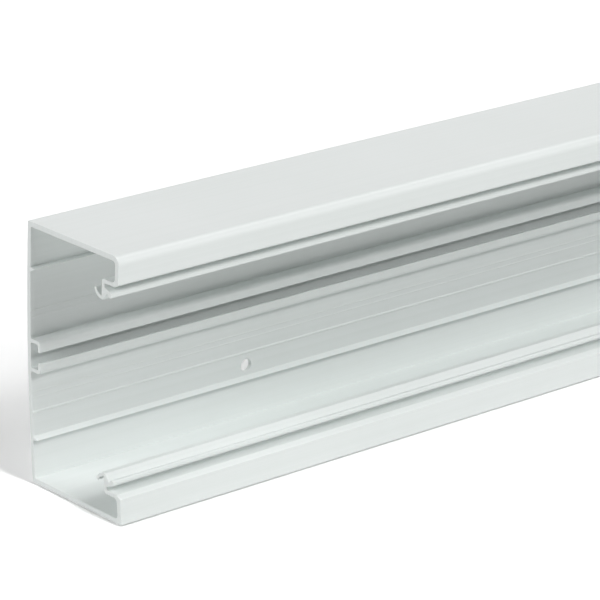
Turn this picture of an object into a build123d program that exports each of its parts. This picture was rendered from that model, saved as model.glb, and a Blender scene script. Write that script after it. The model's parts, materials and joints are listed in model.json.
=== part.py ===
"""Base section of a surface cable trunking: one straight length of extruded rigid PVC.

The section is a deep C that opens to the front. Its back plate screws to a wall and carries a small
C-rail at mid-height. Each flange ends in a front lip, and behind the lip stands a snap clip: a groove
that takes the edge of a cover, a nose that keeps it there, and a curled hook that grips devices from
behind. X runs along the length, the open front faces -Y, and Z is up from the underside.
"""

import os
from math import ceil

from build123d import *

# Overall size, in millimetres
length = 2000.0
height = 100.0
depth = 53.0

# Walls of the channel
back_wall = 2.0
flange_wall = 2.0
lip_wall = 2.1

# Outer edges and inside corners of the channel
top_edge_radius = 3.5
bottom_edge_radius = 0.6
back_edge_radius = 0.4
inner_corner_radius = 1.5

# Front lip, the bevel along its free edge, and the web that returns from there to the clip
lip_height = 11.3
lip_bevel_height = 1.2
lip_bevel_depth = 2.2
lip_edge_radius = 0.4
return_wall = 1.5

# Leg of the snap clip, and the cover groove, which narrows from its mouth to its root
clip_setback = 7.8
leg_wall = 1.6
leg_corner_radius = 1.2
groove_mouth = 2.7
groove_root = 1.4

# Nose in front of the leg, and the notch behind the nose
nose_setback = 3.8
nose_wall = 1.6
nose_height = 1.9
nose_lower_radius = 1.2
nose_upper_radius = 0.5
nose_back_radius = 0.3
notch_width = 0.7
notch_depth = 1.3

# Crest and curled hook on top of the leg
crest_rise = 1.6
crest_land = 0.9
hook_radius = 4.3
hook_wall = 1.3
hook_end_angle = 20.0

# C-rail at mid-height of the back plate
rail_height = 12.5
rail_reach = 5.6
rail_wall = 1.4
rail_slot = 4.2
rail_edge_radius = 1.6
rail_inner_radius = 0.6
rail_tip_radius = 0.4

# Ramp ribs and guide bead along the inside of the back plate
rib_setback = 17.1
rib_rise = 1.35
rib_reach = 2.2
rib_land = 0.4
bead_offset = 22.3
bead_width = 1.2
bead_crest = 0.5
bead_reach = 0.3

# Fixing holes through the back plate, in two rows
hole_diameter = 4.8
hole_row_spacing = 55.0
hole_end_margin = 100.0
hole_largest_pitch = 450.0

# Faces that the features are set out from, in the plane of the section, with its middle at zero height
front = -depth / 2
back = depth / 2
inside = back - back_wall
lip_inside = front + lip_wall
base = -height / 2
floor = base + flange_wall
lip_edge = base + lip_height
return_face = lip_edge - return_wall
bevel_low = lip_edge - lip_bevel_height
bevel_rear = front + lip_bevel_depth

# Faces and levels of the snap clip
leg_front = front + clip_setback
leg_rear = leg_front + leg_wall
groove_high = lip_edge + groove_root
nose_front = front + nose_setback
nose_rear = nose_front + nose_wall
nose_low = lip_edge + groove_mouth
nose_top = nose_low + nose_height
notch_low = nose_top - notch_depth
crest = nose_top + crest_rise
hook_centre = (leg_rear, crest - hook_radius)
hook_sweep = hook_end_angle - 90.0

# Faces of the C-rail, and level of the rib
rail_low = -rail_height / 2
rail_front = inside - rail_reach
rail_leg_rear = rail_front + rail_wall
slot_low = -rail_slot / 2
rib_low = base + rib_setback

# Pitch of the fixing holes, evened out between the two end margins
hole_span = length - 2 * hole_end_margin
holes_per_row = ceil(hole_span / hole_largest_pitch) + 1
hole_pitch = hole_span / (holes_per_row - 1)

section_plane = Plane(origin=(0, 0, height / 2), x_dir=(0, 1, 0), z_dir=(1, 0, 0))
back_plane = Plane(origin=(0, back, height / 2), x_dir=(1, 0, 0), z_dir=(0, 1, 0))

with BuildPart() as trunking_base:
    with BuildSketch(section_plane) as section:
        # Lower flange, lip, return web and snap clip, as one closed outline
        with BuildLine():
            Polyline(
                (leg_rear, crest - hook_wall),
                (leg_rear, return_face),
                (lip_inside, return_face),
                (lip_inside, floor),
                (inside, floor),
                (inside, 0),
                (back, 0),
                (back, base),
                (front, base),
                (front, bevel_low),
                (bevel_rear, lip_edge),
                (leg_front, lip_edge),
                (leg_front, groove_high),
                (nose_front, nose_low),
                (nose_front, nose_top),
                (nose_rear, nose_top),
                (nose_rear + notch_width, notch_low),
                (leg_rear - crest_land, crest),
                (leg_rear, crest),
            )
            hook_outside = CenterArc(hook_centre, hook_radius, 90, hook_sweep)
            hook_inside = CenterArc(hook_centre, hook_radius - hook_wall, 90, hook_sweep)
            hook_tip = (hook_outside @ 1 + hook_inside @ 1) / 2
            CenterArc(hook_tip, hook_wall / 2, hook_end_angle, -180)
        make_face()

        # Rounded corners of the lip and the clip
        rounded_corners = [
            ((leg_rear, return_face), leg_corner_radius),
            ((lip_inside, return_face), inner_corner_radius),
            ((lip_inside, floor), inner_corner_radius),
            ((inside, floor), inner_corner_radius),
            ((front, bevel_low), lip_edge_radius),
            ((bevel_rear, lip_edge), lip_edge_radius),
            ((nose_front, nose_low), nose_lower_radius),
            ((nose_front, nose_top), nose_upper_radius),
            ((nose_rear, nose_top), nose_back_radius),
        ]
        for corner, radius in rounded_corners:
            fillet(section.vertices().sort_by_distance(corner)[0], radius)

        # Lower hook of the C-rail
        with BuildLine():
            Polyline(
                (inside, rail_low),
                (rail_front, rail_low),
                (rail_front, slot_low),
                (rail_leg_rear, slot_low),
                (rail_leg_rear, rail_low + rail_wall),
                (inside, rail_low + rail_wall),
                close=True,
            )
        make_face()
        rounded_rail = [
            ((rail_front, rail_low), rail_edge_radius),
            ((rail_leg_rear, rail_low + rail_wall), rail_inner_radius),
            ((rail_front, slot_low), rail_tip_radius),
            ((rail_leg_rear, slot_low), rail_tip_radius),
        ]
        for corner, radius in rounded_rail:
            fillet(section.vertices().sort_by_distance(corner)[0], radius)

        # Ramp rib: a steep face towards the flange and a slope towards the rail
        with BuildLine():
            Polyline(
                (inside, rib_low),
                (inside - rib_reach, rib_low),
                (inside - rib_reach, rib_low + rib_land),
                (inside, rib_low + rib_rise),
                close=True,
            )
        make_face()

        # The upper half repeats the lower one, apart from the guide bead and the outer edges
        mirror(about=Plane.XZ)

        # Guide bead between the lower rib and the rail
        with BuildLine():
            Polyline(
                (inside, -bead_offset - bead_width / 2),
                (inside - bead_reach, -bead_offset - bead_crest / 2),
                (inside - bead_reach, -bead_offset + bead_crest / 2),
                (inside, -bead_offset + bead_width / 2),
                close=True,
            )
        make_face()

        # Outer edges: a broad round along the top of the front, and small ones elsewhere
        fillet(section.vertices().sort_by_distance((front, base))[0], bottom_edge_radius)
        fillet(section.vertices().sort_by_distance((front, -base))[0], top_edge_radius)
        for level in (base, -base):
            fillet(section.vertices().sort_by_distance((back, level))[0], back_edge_radius)
    extrude(amount=length / 2, both=True)

    # Two rows of fixing holes, drilled from the wall side
    with Locations(back_plane):
        with GridLocations(hole_pitch, hole_row_spacing, holes_per_row, 2):
            Hole(hole_diameter / 2, depth=back_wall)

trunking_base.part.label = "trunking_base"

os.makedirs("parts", exist_ok=True)
export_step(trunking_base.part, "parts/trunking_base.step")
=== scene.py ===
"""A straight length of white rigid PVC cable trunking, seen on its cut end in soft studio light.

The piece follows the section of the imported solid. To it come the things that make a real extrusion:
softened roots, die lines along the back plate, bowed saw cuts with scraped edges, and screw holes
with broken rims. X runs along the length, the open front faces -Y, and Z is up from the floor.
"""

from __future__ import annotations

import json
import logging
import math
from dataclasses import dataclass, field, replace
from typing import Any

import bmesh
import bpy
from mathutils import Matrix, Vector
from mathutils.geometry import delaunay_2d_cdt

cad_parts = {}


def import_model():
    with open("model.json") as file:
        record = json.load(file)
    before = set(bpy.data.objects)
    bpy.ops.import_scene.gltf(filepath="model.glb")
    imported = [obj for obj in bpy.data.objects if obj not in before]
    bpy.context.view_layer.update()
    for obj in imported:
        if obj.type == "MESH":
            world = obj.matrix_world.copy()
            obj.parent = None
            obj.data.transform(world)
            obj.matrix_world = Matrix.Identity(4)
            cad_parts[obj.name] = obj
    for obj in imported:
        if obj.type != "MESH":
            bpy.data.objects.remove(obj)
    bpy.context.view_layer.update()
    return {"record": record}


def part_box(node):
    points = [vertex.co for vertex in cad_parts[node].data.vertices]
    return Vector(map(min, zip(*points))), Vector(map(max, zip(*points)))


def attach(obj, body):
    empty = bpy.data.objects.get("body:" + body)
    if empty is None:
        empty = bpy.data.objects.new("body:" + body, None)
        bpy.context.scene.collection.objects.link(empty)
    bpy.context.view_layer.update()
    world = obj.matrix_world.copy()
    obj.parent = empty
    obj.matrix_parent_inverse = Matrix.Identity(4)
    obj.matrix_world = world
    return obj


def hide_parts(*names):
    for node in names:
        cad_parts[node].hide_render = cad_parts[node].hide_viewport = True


NODE = "trunking_base"
BODY = "root"

# A millimetre in metres, and millimetres in a metre
MM = 0.001
PER_METRE = 1000.0
# Share of each pattern where two of them are blended evenly
EVEN = 0.5
# Triangulation of an outline: which triangles are kept, and the distance at which points are one
INSIDE_ONLY = 1
SAME_POINT = 1e-6

log = logging.getLogger("trunking")


def linear(code: str) -> tuple[float, float, float, float]:
    """Turn an sRGB hex colour into linear light.

    Args:
        code: Colour written as "#RRGGBB".

    Returns:
        Linear red, green and blue, with an alpha of one.
    """
    channels = [int(code[start:start + 2], 16) / 255.0 for start in (1, 3, 5)]
    # The sRGB curve: a short straight foot, then a power
    red, green, blue = (
        c / 12.92 if c <= 0.04045 else ((c + 0.055) / 1.055) ** 2.4 for c in channels
    )
    return red, green, blue, 1.0


def add_node(
    tree: bpy.types.NodeTree,
    kind: str,
    settings: dict[str | int, Any] | None = None,
    links: dict[str | int, bpy.types.NodeSocket] | None = None,
) -> bpy.types.Node:
    """Add a node, set its properties and sockets, and link its inputs.

    Args:
        tree: Node tree that takes the node.
        kind: Blender's type name of the node.
        settings: Values by the name of a property, or by the name or number of an input.
        links: Output sockets by the name or number of the input that each one feeds.

    Returns:
        The new node.
    """
    node = tree.nodes.new(kind)
    for key, value in (settings or {}).items():
        if isinstance(key, int) or key in node.inputs:
            node.inputs[key].default_value = value
        else:
            setattr(node, key, value)
    for key, socket in (links or {}).items():
        tree.links.new(socket, node.inputs[key])
    return node


def blank_material(name: str) -> bpy.types.Material:
    """Make a material with an empty node tree.

    Args:
        name: Name of the material.

    Returns:
        The new material.
    """
    material = bpy.data.materials.new(name)
    material.use_nodes = True
    material.node_tree.nodes.clear()
    return material


def shown_rays(tree: bpy.types.NodeTree) -> bpy.types.NodeSocket:
    """Tell which rays show the surroundings: those to the camera, in gloss and through glass.

    Args:
        tree: Node tree that asks.

    Returns:
        A socket that gives one for such a ray and zero for any other.
    """
    rays = add_node(tree, "ShaderNodeLightPath")
    seen = rays.outputs["Is Camera Ray"]
    for kind in ("Is Glossy Ray", "Is Transmission Ray"):
        seen = add_node(
            tree, "ShaderNodeMath", {"operation": "MAXIMUM"}, {0: seen, 1: rays.outputs[kind]},
        ).outputs[0]
    return seen


@dataclass(frozen=True)
class ExtrudedPvc:
    """Rigid white PVC as it leaves the die: a smooth satin skin, with faint lines along the length.

    The pigment is a cool white. The lines show as bands a shade apart, and they break the gloss
    into long streaks, so a highlight runs evenly along an edge and never mirrors. Real lines lie
    closer than the picture can show, so they are drawn wider.
    """

    name: str = "rigid_pvc_extruded"
    pale: str = "#EEF2F1"
    deep: str = "#E8EDEB"
    contrast: tuple[float, float] = (0.3, 0.7)
    ior: float = 1.53
    roughest: float = 0.31
    smoothest: float = 0.28
    line_spacing: float = 1.1
    line_length: float = 700.0
    line_depth: float = 0.0008
    line_detail: float = 3.0
    line_raggedness: float = 0.6
    cloud_size: float = 70.0
    cloud_detail: float = 2.0

    def material(self) -> bpy.types.Material:
        """Make the material.

        Returns:
            The new material.
        """
        material = blank_material(self.name)
        tree = material.node_tree
        place = add_node(tree, "ShaderNodeTexCoord").outputs["Object"]
        across = PER_METRE / self.line_spacing
        along = PER_METRE / self.line_length
        drawn = add_node(
            tree, "ShaderNodeMapping", {"Scale": (along, across, across)}, {"Vector": place},
        )
        lines = add_node(
            tree, "ShaderNodeTexNoise",
            {"Scale": 1.0, "Detail": self.line_detail, "Roughness": self.line_raggedness},
            {"Vector": drawn.outputs["Vector"]},
        ).outputs["Fac"]
        clouds = add_node(
            tree, "ShaderNodeTexNoise",
            {"Scale": PER_METRE / self.cloud_size, "Detail": self.cloud_detail},
            {"Vector": place},
        ).outputs["Fac"]
        both = add_node(tree, "ShaderNodeMath", {"operation": "ADD"}, {0: lines, 1: clouds})
        blend = add_node(
            tree, "ShaderNodeMath", {"operation": "MULTIPLY", 1: EVEN}, {0: both.outputs[0]},
        )
        shade = add_node(tree, "ShaderNodeValToRGB", None, {"Fac": blend.outputs[0]})
        for index, code in enumerate((self.deep, self.pale)):
            shade.color_ramp.elements[index].position = self.contrast[index]
            shade.color_ramp.elements[index].color = linear(code)
        low, high = self.contrast
        gloss = add_node(
            tree, "ShaderNodeMapRange",
            {"From Min": low, "From Max": high, "To Min": self.smoothest, "To Max": self.roughest},
            {"Value": lines},
        )
        relief = add_node(
            tree, "ShaderNodeBump", {"Strength": 1.0, "Distance": self.line_depth * MM},
            {"Height": lines},
        )
        skin = add_node(
            tree, "ShaderNodeBsdfPrincipled", {"IOR": self.ior},
            {
                "Base Color": shade.outputs["Color"],
                "Roughness": gloss.outputs["Result"],
                "Normal": relief.outputs["Normal"],
            },
        )
        add_node(tree, "ShaderNodeOutputMaterial", None, {"Surface": skin.outputs["BSDF"]})
        return material


@dataclass(frozen=True)
class Corner:
    """A corner of the section in millimetres: its place and the radius that softens it."""

    y: float
    z: float
    radius: float = 0.0

    def mirrored(self, height: float) -> Corner:
        """Give the matching corner of the other half of a section of this height."""
        return replace(self, z=height - self.z)


def arc(centre: Vector, radius: float, start: float, end: float, step: float) -> list[Corner]:
    """Divide an arc into plain corners.

    Args:
        centre: Centre of the arc.
        radius: Radius of the arc.
        start: Angle of the first point, in degrees from +Y towards +Z.
        end: Angle of the last point.
        step: Largest angle between two points.

    Returns:
        The points of the arc, both ends among them.
    """
    count = math.ceil(abs(end - start) / step)
    angles = [math.radians(start + (end - start) * index / count) for index in range(count + 1)]
    return [
        Corner(centre.x + radius * math.cos(angle), centre.y + radius * math.sin(angle))
        for angle in angles
    ]


def soften(corners: list[Corner], step: float) -> list[Vector]:
    """Round the corners of a closed outline.

    Args:
        corners: Corners in order around the outline.
        step: Largest turn in degrees between two points of a rounded corner.

    Returns:
        Points in order around the outline.
    """
    places = [Vector((corner.y, corner.z)) for corner in corners]
    points: list[Vector] = []
    for index, corner in enumerate(corners):
        here = places[index]
        back = (places[index - 1] - here).normalized()
        ahead = (places[(index + 1) % len(places)] - here).normalized()
        turn = math.pi - back.angle(ahead)
        if corner.radius <= 0.0:
            points.append(here)
            continue
        centre = here + (back + ahead).normalized() * corner.radius / math.cos(turn / 2)
        start = here + back * corner.radius * math.tan(turn / 2) - centre
        side = math.copysign(1.0, (-back).cross(ahead))
        count = max(1, math.ceil(math.degrees(turn) / step))
        turns = [side * turn * index / count for index in range(count + 1)]
        points += [centre + Matrix.Rotation(angle, 2) @ start for angle in turns]
    return points


@dataclass(frozen=True)
class ChannelWalls:
    """Back plate, flanges and front lips, in millimetres, with the underside at zero."""

    front: float
    back: float
    height: float
    back_wall: float = 2.0
    flange_wall: float = 2.0
    lip_wall: float = 2.1
    lip_height: float = 11.3
    lip_bevel_height: float = 1.2
    lip_bevel_depth: float = 2.2
    lip_edge_radius: float = 0.4
    return_wall: float = 1.5
    inner_radius: float = 1.5
    plate_radius: float = 0.2
    top_edge_radius: float = 3.5
    bottom_edge_radius: float = 0.6
    back_edge_radius: float = 0.4

    @property
    def inside(self) -> float:
        """Inner face of the back plate."""
        return self.back - self.back_wall

    @property
    def return_face(self) -> float:
        """Inner face of the web that returns from the lip."""
        return self.lip_height - self.return_wall

    def inner_corners(self) -> list[Corner]:
        """Give the inside corners from the back plate to the foot of the clip.

        Returns:
            Corners in order.
        """
        lip = self.front + self.lip_wall
        return [
            Corner(self.inside, self.flange_wall, self.plate_radius),
            Corner(lip, self.flange_wall, self.inner_radius),
            Corner(lip, self.return_face, self.inner_radius),
        ]

    def outer_corners(self, edge_radius: float) -> list[Corner]:
        """Give the outside corners from the lip's free edge to the back.

        Args:
            edge_radius: Radius of the edge between the flange and the lip.

        Returns:
            Corners in order.
        """
        return [
            Corner(self.front + self.lip_bevel_depth, self.lip_height, self.lip_edge_radius),
            Corner(self.front, self.lip_height - self.lip_bevel_height, self.lip_edge_radius),
            Corner(self.front, 0.0, edge_radius),
            Corner(self.back, 0.0, self.back_edge_radius),
        ]


@dataclass(frozen=True)
class SnapClip:
    """Clip behind a lip: a leg, a nose that keeps the cover in its groove, and a curled hook."""

    setback: float = 7.8
    leg_wall: float = 1.6
    leg_corner_radius: float = 1.2
    groove_mouth: float = 2.7
    groove_root: float = 1.4
    nose_setback: float = 3.8
    nose_wall: float = 1.6
    nose_height: float = 1.9
    nose_lower_radius: float = 1.2
    nose_upper_radius: float = 0.5
    nose_back_radius: float = 0.3
    notch_width: float = 0.7
    notch_depth: float = 1.3
    crest_rise: float = 1.6
    crest_land: float = 0.9
    hook_radius: float = 4.3
    hook_wall: float = 1.3
    hook_end_angle: float = 20.0
    root_radius: float = 0.3

    def hook(self, centre: Vector, step: float) -> list[Corner]:
        """Give the curled hook, from the leg round its tip to the crest.

        Args:
            centre: Centre of the curl.
            step: Largest angle between two points, in degrees.

        Returns:
            Corners in order.
        """
        end = self.hook_end_angle
        inside = self.hook_radius - self.hook_wall
        turn = math.radians(end)
        tip_radius = self.hook_wall / 2
        tip = centre + Vector((math.cos(turn), math.sin(turn))) * (inside + tip_radius)
        # The tip is small, so its points lie twice as far apart in angle
        return [
            *arc(centre, inside, 90.0, end, step),
            *arc(tip, tip_radius, end + 180.0, end + 360.0, 2 * step)[1:-1],
            *arc(centre, self.hook_radius, end, 90.0, step),
        ]

    def corners(self, walls: ChannelWalls, step: float) -> list[Corner]:
        """Give the clip's outline from the foot of its leg to the root of its groove.

        Args:
            walls: Channel that carries the clip.
            step: Largest angle between two points of the hook, in degrees.

        Returns:
            Corners in order.
        """
        leg_front = walls.front + self.setback
        leg_rear = leg_front + self.leg_wall
        nose_front = walls.front + self.nose_setback
        nose_rear = nose_front + self.nose_wall
        nose_low = walls.lip_height + self.groove_mouth
        nose_top = nose_low + self.nose_height
        crest = nose_top + self.crest_rise
        return [
            Corner(leg_rear, walls.return_face, self.leg_corner_radius),
            *self.hook(Vector((leg_rear, crest - self.hook_radius)), step),
            Corner(leg_rear - self.crest_land, crest, self.root_radius),
            Corner(nose_rear + self.notch_width, nose_top - self.notch_depth, self.root_radius),
            Corner(nose_rear, nose_top, self.nose_back_radius),
            Corner(nose_front, nose_top, self.nose_upper_radius),
            Corner(nose_front, nose_low, self.nose_lower_radius),
            Corner(leg_front, walls.lip_height + self.groove_root, self.root_radius),
            Corner(leg_front, walls.lip_height, self.root_radius),
        ]


@dataclass(frozen=True)
class CRail:
    """Two hooks that face each other at mid-height of the back plate."""

    height: float = 12.5
    reach: float = 5.6
    wall: float = 1.4
    slot: float = 4.2
    edge_radius: float = 1.6
    inner_radius: float = 0.6
    tip_radius: float = 0.4
    root_radius: float = 0.4

    def corners(self, walls: ChannelWalls) -> list[Corner]:
        """Give the lower hook's outline, from the chamber round the tip to the back plate.

        Args:
            walls: Channel that carries the rail.

        Returns:
            Corners in order.
        """
        low = (walls.height - self.height) / 2
        slot_low = (walls.height - self.slot) / 2
        front = walls.inside - self.reach
        leg_rear = front + self.wall
        return [
            Corner(walls.inside, low + self.wall, self.root_radius),
            Corner(leg_rear, low + self.wall, self.inner_radius),
            Corner(leg_rear, slot_low, self.tip_radius),
            Corner(front, slot_low, self.tip_radius),
            Corner(front, low, self.edge_radius),
            Corner(walls.inside, low, self.root_radius),
        ]


@dataclass(frozen=True)
class PlateRelief:
    """Ramp rib, guide bead and die lines along the inside of one half of the back plate."""

    rib_setback: float = 17.1
    rib_rise: float = 1.35
    rib_reach: float = 2.2
    rib_land: float = 0.4
    rib_radius: float = 0.18
    has_bead: bool = True
    bead_offset: float = 22.3
    bead_width: float = 1.2
    bead_crest: float = 0.5
    bead_reach: float = 0.3
    bead_radius: float = 0.3
    line_offsets: tuple[float, ...] = (14.4, 16.7)
    line_width: float = 0.7
    line_reach: float = 0.08

    def ridge(
        self, face: float, level: float, width: float, crest: float, reach: float,
    ) -> list[Corner]:
        """Give the outline of a low ridge, from its upper root to its lower one.

        Args:
            face: Face that the ridge stands on.
            level: Height of its middle.
            width: Width at the root.
            crest: Width at the crest.
            reach: Height of the crest above the face.

        Returns:
            Corners in order.
        """
        top = face - reach
        levels = ((face, width / 2), (top, crest / 2), (top, -crest / 2), (face, -width / 2))
        radius = min(crest, self.bead_radius) / 2
        return [Corner(y, level + rise, radius) for y, rise in levels]

    def corners(self, walls: ChannelWalls) -> list[Corner]:
        """Give the relief of the lower half, from the rail down to the flange.

        Args:
            walls: Channel that carries the relief.

        Returns:
            Corners in order.
        """
        face = walls.inside
        middle = walls.height / 2
        outline: list[Corner] = []
        for offset in self.line_offsets:
            level = middle - offset
            width = self.line_width
            outline += self.ridge(face, level, width, width / 2, self.line_reach)
        if self.has_bead:
            level = middle - self.bead_offset
            outline += self.ridge(face, level, self.bead_width, self.bead_crest, self.bead_reach)
        tip = face - self.rib_reach
        outline += [
            Corner(face, self.rib_setback + self.rib_rise, self.bead_radius),
            Corner(tip, self.rib_setback + self.rib_land, self.rib_radius),
            Corner(tip, self.rib_setback, self.rib_radius),
            Corner(face, self.rib_setback, self.bead_radius),
        ]
        return outline


@dataclass(frozen=True)
class FixingHoles:
    """Screw holes through the back plate, in millimetres."""

    places: tuple[tuple[float, float], ...]
    radius: float
    edge_break: float = 0.12
    sides: int = 64

    @classmethod
    def from_record(cls, record: dict[str, Any]) -> FixingHoles:
        """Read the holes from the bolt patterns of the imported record.

        Args:
            record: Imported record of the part.

        Returns:
            The holes, by their places along the length and up the plate.
        """
        patterns = [mount for mount in record["mounts"] if mount["kind"] == "bolt_pattern"]
        places: set[tuple[float, float]] = set()
        for pattern in patterns:
            middle_x, _, middle_z = (PER_METRE * value for value in pattern["pos_m"])
            half_x = pattern["dims"].get("spacing_x_mm", 0.0) / 2
            half_z = pattern["dims"]["spacing_y_mm"] / 2
            columns = (middle_x - half_x, middle_x + half_x)
            places |= {(x, z) for x in columns for z in (middle_z - half_z, middle_z + half_z)}
        return cls(tuple(sorted(places)), patterns[0]["dims"]["hole_r_mm"])

    def cutter(self, walls: ChannelWalls) -> bpy.types.Object:
        """Make the drills: round bars that flare at both faces, so each rim comes out broken.

        Args:
            walls: Channel whose back plate is drilled.

        Returns:
            One mesh object that holds all the drills.
        """
        spare = walls.back_wall
        profile = [
            (walls.inside - spare, self.radius + self.edge_break + spare),
            (walls.inside + self.edge_break, self.radius),
            (walls.back - self.edge_break, self.radius),
            (walls.back + spare, self.radius + self.edge_break + spare),
        ]
        turns = [math.tau * side / self.sides for side in range(self.sides)]
        mesh = bmesh.new()
        for x, z in self.places:
            rings = []
            for y, radius in profile:
                ring = [(x + radius * math.cos(t), y, z + radius * math.sin(t)) for t in turns]
                rings.append([mesh.verts.new(Vector(point) * MM) for point in ring])
            for near, far in zip(rings, rings[1:]):
                for side in range(self.sides):
                    following = (side + 1) % self.sides
                    mesh.faces.new((near[side], near[following], far[following], far[side]))
            mesh.faces.new(reversed(rings[0]))
            mesh.faces.new(rings[-1])
        bmesh.ops.recalc_face_normals(mesh, faces=mesh.faces)
        data = bpy.data.meshes.new("drills")
        mesh.to_mesh(data)
        mesh.free()
        drills = bpy.data.objects.new("drills", data)
        bpy.context.scene.collection.objects.link(drills)
        return drills


@dataclass
class TrunkingBase:
    """The whole extrusion: one section drawn along the length, sawn at both ends and drilled.

    Lengths are in millimetres and angles in degrees.
    """

    start: float
    finish: float
    walls: ChannelWalls
    holes: FixingHoles
    clip: SnapClip = field(default_factory=SnapClip)
    rail: CRail = field(default_factory=CRail)
    lower_relief: PlateRelief = field(default_factory=PlateRelief)
    upper_relief: PlateRelief = field(default_factory=lambda: PlateRelief(has_bead=False))
    skin: ExtrudedPvc = field(default_factory=ExtrudedPvc)
    edge_break: float = 0.12
    mitre_limit: float = 0.5
    cut_bow: float = 1.1
    arc_step: float = 9.0
    longest_side: float = 4.0
    station_pitch: float = 40.0
    hole_guard: float = 3.0
    weld: float = 0.001
    crease: float = 32.0
    flat_weight: int = 100

    def half(self, relief: PlateRelief, edge_radius: float) -> list[Corner]:
        """Give one half's outline, as the lower one, from the rail's chamber to the back.

        Args:
            relief: Relief of the back plate in this half.
            edge_radius: Radius of the outer edge between the flange and the lip.

        Returns:
            Corners in order.
        """
        return [
            *self.rail.corners(self.walls),
            *relief.corners(self.walls),
            *self.walls.inner_corners(),
            *self.clip.corners(self.walls, self.arc_step),
            *self.walls.outer_corners(edge_radius),
        ]

    def outline(self) -> list[Vector]:
        """Give the closed outline of the section, in order with the material on its left.

        Returns:
            Points in the plane of the section, none further from the next than the longest side.
        """
        lower = self.half(self.lower_relief, self.walls.bottom_edge_radius)
        upper = self.half(self.upper_relief, self.walls.top_edge_radius)
        corners = lower + [corner.mirrored(self.walls.height) for corner in reversed(upper)]
        rounded = soften(corners, self.arc_step)
        points: list[Vector] = []
        for here, following in zip(rounded, rounded[1:] + rounded[:1]):
            count = max(1, math.ceil((following - here).length / self.longest_side))
            points += [here.lerp(following, index / count) for index in range(count)]
        return points

    def inset(self, points: list[Vector], amount: float) -> list[Vector]:
        """Draw the outline in towards the material.

        Args:
            points: Points of the outline, in order with the material on their left.
            amount: How far each side moves.

        Returns:
            The moved points.
        """
        moved = []
        for index, here in enumerate(points):
            before = (here - points[index - 1]).normalized()
            after = (points[(index + 1) % len(points)] - here).normalized()
            inward = (before + after).normalized().orthogonal()
            moved.append(here + inward * amount / max(before.dot(after), self.mitre_limit))
        return moved

    def stations(self) -> list[float]:
        """Choose where along the length the section is drawn between the two cuts.

        Returns:
            Places in order, evenly spread and on both sides of each hole.
        """
        reach = self.holes.radius + self.hole_guard
        guards = [x + side * reach for x, _ in self.holes.places for side in (-1, 1)]
        span = self.finish - self.start
        count = round(span / self.station_pitch)
        even = [self.start + span * index / count for index in range(1, count)]
        return sorted(set(guards + even))

    def bow(self, level: float) -> float:
        """Give how far the saw cut falls back at this height, because the blade wandered."""
        middle = self.walls.height / 2
        return self.cut_bow * ((level - middle) / middle) ** 2

    def draw(self) -> bpy.types.Object:
        """Draw the section along the length and close it at both ends.

        Returns:
            The mesh object, not yet drilled.
        """
        full = self.outline()
        scraped = self.inset(full, self.edge_break)
        bow = [self.bow(point.y) for point in full]
        straight = [0.0] * len(full)
        inner, outer = self.start + self.edge_break, self.finish - self.edge_break
        rows = [
            (self.start, scraped, bow),
            (inner, full, bow),
            *((x, full, straight) for x in self.stations()),
            (outer, full, [-fall for fall in bow]),
            (self.finish, scraped, [-fall for fall in bow]),
        ]
        mesh = bmesh.new()
        rings = [
            [mesh.verts.new(Vector((x + fall, p.x, p.y)) * MM) for p, fall in zip(points, falls)]
            for x, points, falls in rows
        ]
        sides = [(index, (index + 1) % len(full)) for index in range(len(full))]
        for near, far in zip(rings, rings[1:]):
            for index, following in sides:
                mesh.faces.new((near[index], near[following], far[following], far[index]))
        triangles = delaunay_2d_cdt(scraped, sides, [], INSIDE_ONLY, SAME_POINT)[2]
        for triangle in triangles:
            for ring, corners in ((rings[0], reversed(triangle)), (rings[-1], triangle)):
                mesh.faces.new([ring[index] for index in corners])
        data = bpy.data.meshes.new("trunking_length")
        mesh.to_mesh(data)
        mesh.free()
        piece = bpy.data.objects.new("trunking_length", data)
        bpy.context.scene.collection.objects.link(piece)
        return piece

    def dress(self, piece: bpy.types.Object) -> None:
        """Give the piece its finish."""
        piece.data.materials.append(self.skin.material())

    def drill(self, piece: bpy.types.Object) -> None:
        """Cut the screw holes through the back plate.

        Args:
            piece: Mesh object of the extrusion.
        """
        drills = self.holes.cutter(self.walls)
        cut = piece.modifiers.new("drill", "BOOLEAN")
        cut.operation = "DIFFERENCE"
        cut.solver = "EXACT"
        cut.object = drills
        bpy.context.view_layer.update()
        evaluated = piece.evaluated_get(bpy.context.evaluated_depsgraph_get())
        drilled = bpy.data.meshes.new_from_object(evaluated)
        piece.modifiers.clear()
        plain = piece.data
        piece.data = drilled
        bpy.data.meshes.remove(plain)
        drill_mesh = drills.data
        bpy.data.objects.remove(drills)
        bpy.data.meshes.remove(drill_mesh)

    def smooth(self, piece: bpy.types.Object) -> None:
        """Give the drilled piece clean shading, with sharp edges only at its creases.

        Args:
            piece: Mesh object of the extrusion.
        """
        mesh = bmesh.new()
        mesh.from_mesh(piece.data)
        # The drill leaves a few points on top of each other where a rim meets a station
        bmesh.ops.remove_doubles(mesh, verts=mesh.verts, dist=self.weld * MM)
        for face in mesh.faces:
            face.smooth = True
        for edge in mesh.edges:
            edge.smooth = edge.calc_face_angle(0.0) < math.radians(self.crease)
        mesh.to_mesh(piece.data)
        mesh.free()
        shading = piece.modifiers.new("even_shading", "WEIGHTED_NORMAL")
        shading.keep_sharp = True
        shading.weight = self.flat_weight

    def build(self) -> bpy.types.Object:
        """Make the finished piece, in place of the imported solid.

        Returns:
            The mesh object.
        """
        piece = self.draw()
        self.dress(piece)
        self.drill(piece)
        self.smooth(piece)
        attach(piece, BODY)
        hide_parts(NODE)
        return piece


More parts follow.
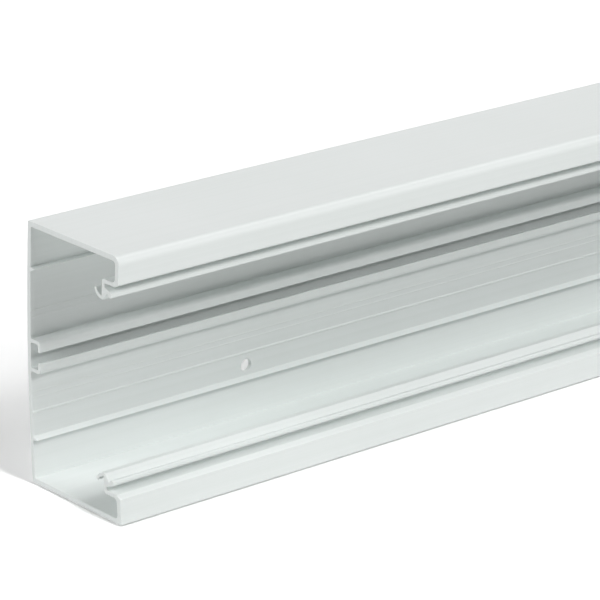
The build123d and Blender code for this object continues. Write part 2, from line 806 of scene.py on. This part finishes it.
@dataclass(frozen=True)
class PaintedFloor:
    """Matt white studio floor: it throws light back as pale paint does, and shows as a white sweep.

    To the eye and in gloss it is exposed up to white where the lamps reach it, so only the deeper
    shadow stays.
    """

    name: str = "matt_floor_paint"
    paint: str = "#F2F3F2"
    exposure: float = 1.4

    def material(self) -> bpy.types.Material:
        """Make the material.

        Returns:
            The new material.
        """
        material = blank_material(self.name)
        tree = material.node_tree
        matt = add_node(tree, "ShaderNodeBsdfDiffuse", {"Color": linear(self.paint)})
        white = (self.exposure, self.exposure, self.exposure, 1.0)
        shown = add_node(tree, "ShaderNodeBsdfDiffuse", {"Color": white})
        mixed = add_node(
            tree, "ShaderNodeMixShader", None,
            {"Fac": shown_rays(tree), 1: matt.outputs["BSDF"], 2: shown.outputs["BSDF"]},
        )
        add_node(tree, "ShaderNodeOutputMaterial", None, {"Surface": mixed.outputs["Shader"]})
        return material


@dataclass(frozen=True)
class Softbox:
    """A far, wide lamp: where it stands as seen from the object, how wide it looks, its strength.

    The azimuth is counted from the open front towards +X, all angles are in degrees, and the
    strength is in watts per square metre.
    """

    name: str
    azimuth: float
    elevation: float
    spread: float
    strength: float

    def place(self) -> None:
        """Hang the lamp."""
        turn = math.radians(self.azimuth)
        rise = math.radians(self.elevation)
        towards = Vector((
            math.sin(turn) * math.cos(rise), -math.cos(turn) * math.cos(rise), math.sin(rise),
        ))
        data = bpy.data.lights.new(self.name, "SUN")
        data.energy = self.strength
        data.angle = math.radians(self.spread)
        lamp = bpy.data.objects.new(self.name, data)
        lamp.rotation_euler = towards.to_track_quat("Z", "Y").to_euler()
        bpy.context.scene.collection.objects.link(lamp)


@dataclass(frozen=True)
class Studio:
    """Pale floor, white surroundings and soft lamps.

    Half the floor's side is in metres, and its gap under the part is in millimetres.
    """

    floor_half: float = 40.0
    floor_gap: float = 0.6
    fill: float = 0.02
    # Name, azimuth, elevation, spread and strength
    lamps: tuple[Softbox, ...] = (
        Softbox("front_softbox_top", 5.0, 60.0, 14.0, 0.26),
        Softbox("front_softbox_upper", 5.0, 50.0, 12.0, 0.64),
        Softbox("front_softbox_lower", 5.0, 42.0, 10.0, 0.28),
        Softbox("front_softbox_bottom", 5.0, 34.0, 9.0, 0.71),
        Softbox("left_softbox", -94.0, 36.0, 30.0, 1.27),
        Softbox("right_softbox_high", 88.0, 52.0, 14.0, 0.20),
        Softbox("right_softbox_low", 48.0, 22.0, 30.0, 0.22),
        Softbox("back_softbox", 180.0, 14.0, 30.0, 0.85),
    )
    paint: PaintedFloor = PaintedFloor()

    def lay_floor(self) -> None:
        """Lay the floor just under the part."""
        half = self.floor_half
        level = -self.floor_gap * MM
        square = ((-half, -half), (half, -half), (half, half), (-half, half))
        corners = [(x, y, level) for x, y in square]
        data = bpy.data.meshes.new("studio_floor")
        data.from_pydata(corners, [], [(0, 1, 2, 3)])
        data.materials.append(self.paint.material())
        floor = bpy.data.objects.new("studio_floor", data)
        bpy.context.scene.collection.objects.link(floor)

    def light_surroundings(self) -> None:
        """Make the surroundings white to the eye and to gloss, and a faint even fill otherwise."""
        world = bpy.data.worlds.new("white_surroundings")
        world.use_nodes = True
        tree = world.node_tree
        tree.nodes.clear()
        strength = add_node(
            tree, "ShaderNodeMapRange", {"To Min": self.fill, "To Max": 1.0},
            {"Value": shown_rays(tree)},
        )
        white = add_node(
            tree, "ShaderNodeBackground", {"Color": (1.0, 1.0, 1.0, 1.0)},
            {"Strength": strength.outputs["Result"]},
        )
        add_node(tree, "ShaderNodeOutputWorld", None, {"Surface": white.outputs["Background"]})
        bpy.context.scene.world = world

    def build(self) -> None:
        """Set up the floor, the surroundings and the lamps."""
        self.lay_floor()
        self.light_surroundings()
        for lamp in self.lamps:
            lamp.place()


@dataclass(frozen=True)
class Viewpoint:
    """Camera on the cut end: its stand from the end's lower front corner, its turn and its lens.

    The stand and the lens are in millimetres, the turns in degrees, and the nearest and farthest
    things seen in metres.
    """

    stand: tuple[float, float, float] = (-693.54, -911.12, 490.16)
    yaw: float = 40.437
    pitch: float = 19.491
    roll: float = 0.5235
    lens: float = 211.41
    sensor: float = 36.0
    nearest: float = 0.01
    farthest: float = 200.0

    def build(self, corner: Vector) -> bpy.types.Object:
        """Stand the camera and make it the scene's own.

        Args:
            corner: Lower front corner of the cut end, in metres.

        Returns:
            The camera object.
        """
        yaw = math.radians(self.yaw)
        pitch = math.radians(self.pitch)
        ahead = Vector((
            math.sin(yaw) * math.cos(pitch), math.cos(yaw) * math.cos(pitch), -math.sin(pitch),
        ))
        level = Vector((math.cos(yaw), -math.sin(yaw), 0.0))
        right = Matrix.Rotation(-math.radians(self.roll), 3, ahead) @ level
        up = right.cross(ahead)
        data = bpy.data.cameras.new("viewpoint")
        data.lens = self.lens
        data.sensor_width = self.sensor
        data.clip_start = self.nearest
        data.clip_end = self.farthest
        camera = bpy.data.objects.new("viewpoint", data)
        place = corner + Vector(self.stand) * MM
        turn = Matrix((right, up, -ahead)).transposed().to_4x4()
        camera.matrix_world = Matrix.Translation(place) @ turn
        bpy.context.scene.collection.objects.link(camera)
        bpy.context.scene.camera = camera
        return camera


def main() -> None:
    """Build the trunking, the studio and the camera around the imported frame."""
    logging.basicConfig(level=logging.INFO, format="%(name)s: %(message)s")
    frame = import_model()
    low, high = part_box(NODE)
    walls = ChannelWalls(front=low.y / MM, back=high.y / MM, height=(high.z - low.z) / MM)
    holes = FixingHoles.from_record(frame["record"])
    trunking = TrunkingBase(start=low.x / MM, finish=high.x / MM, walls=walls, holes=holes)
    piece = trunking.build()
    log.info("%s: %d faces, %d holes", piece.name, len(piece.data.polygons), len(holes.places))
    studio = Studio()
    studio.build()
    log.info("studio: %d lamps", len(studio.lamps))
    camera = Viewpoint().build(low)
    log.info("camera at %s", [round(value, 3) for value in camera.location])
    bpy.context.scene.view_settings.view_transform = "Standard"


if __name__ == "__main__":
    main()
